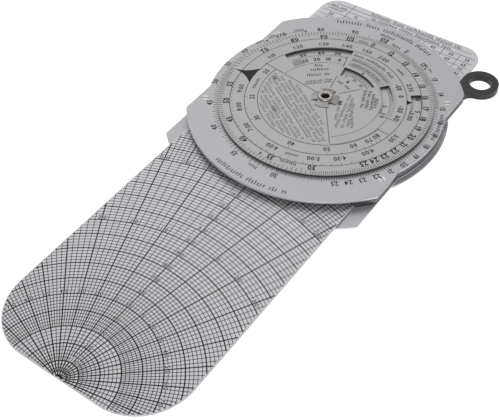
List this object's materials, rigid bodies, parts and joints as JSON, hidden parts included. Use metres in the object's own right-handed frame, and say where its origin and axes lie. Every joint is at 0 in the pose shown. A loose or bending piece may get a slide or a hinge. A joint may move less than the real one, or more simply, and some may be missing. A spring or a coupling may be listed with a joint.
{
  "type": "circular slide rule",
  "caption": "Flat circular slide rule with a rotating log scale disc, a long sliding grid card between two plates, a compass ring behind and a corner lanyard ring.",
  "frame": {"origin": "on the pivot axis of disc and compass ring, in the plane of the compass ring's face that the object rests on", "axes": "+Z out of the calculator face, +Y along the card to its table end, +X to the right as the face is read"},
  "size_m": [0.1186, 0.2555, 0.0103],
  "materials": {
    "plate_aluminium": "satin anodised sheet with black print",
    "disc_aluminium": "satin anodised sheet with black print",
    "card_aluminium": "satin sheet with fine black print",
    "rail_aluminium": "milled bar, satin",
    "ring_aluminium": "satin anodised sheet with black print",
    "rivet_aluminium": "bright, peened flush",
    "black_plastic": "moulded, fine texture",
    "screw_steel": "bright, nickel plated",
    "nylon": "thin natural nylon sheet",
    "spring_steel": "spring sheet",
    "plated_brass": "nickel plated, rolled",
    "spring_bronze": "dark phosphor bronze strip",
    "clear_plastic": "clear sheet, finely frosted for pencil"
  },
  "bodies": {
    "frame": {"front_plate": "plate_aluminium", "back_plate": "plate_aluminium", "left_rail": "rail_aluminium", "right_rail": "rail_aluminium", "lanyard_ring": "black_plastic", "frame_screws": "screw_steel", "frame_nuts": "screw_steel", "disc_washer": "nylon", "spring_washer": "spring_steel", "pivot_eyelet": "plated_brass", "eyelet_back_washer": "spring_steel", "card_spring_left": "spring_bronze", "card_spring_right": "spring_bronze"},
    "calculator": {"computer_disc": "disc_aluminium"},
    "card": {"wind_card": "card_aluminium"},
    "azimuth": {"azimuth_ring": "ring_aluminium", "azimuth_window": "clear_plastic", "azimuth_retainer": "rail_aluminium", "azimuth_rivets": "rivet_aluminium", "centre_grommet": "plated_brass"}
  },
  "joints": [
    {"name": "disc_turn", "type": "hinge", "parent": "frame", "child": "calculator", "pos_m": [0, 0, 0.00795], "axis": [0, 0, 1], "continuous": true},
    {"name": "azimuth_turn", "type": "hinge", "parent": "frame", "child": "azimuth", "pos_m": [0, 0, 0.0016], "axis": [0, 0, 1], "continuous": true},
    {"name": "card_slide", "type": "slide", "parent": "frame", "child": "card", "axis": [0, 1, 0], "range_m": [-0.075, 0.18]}
  ]
}
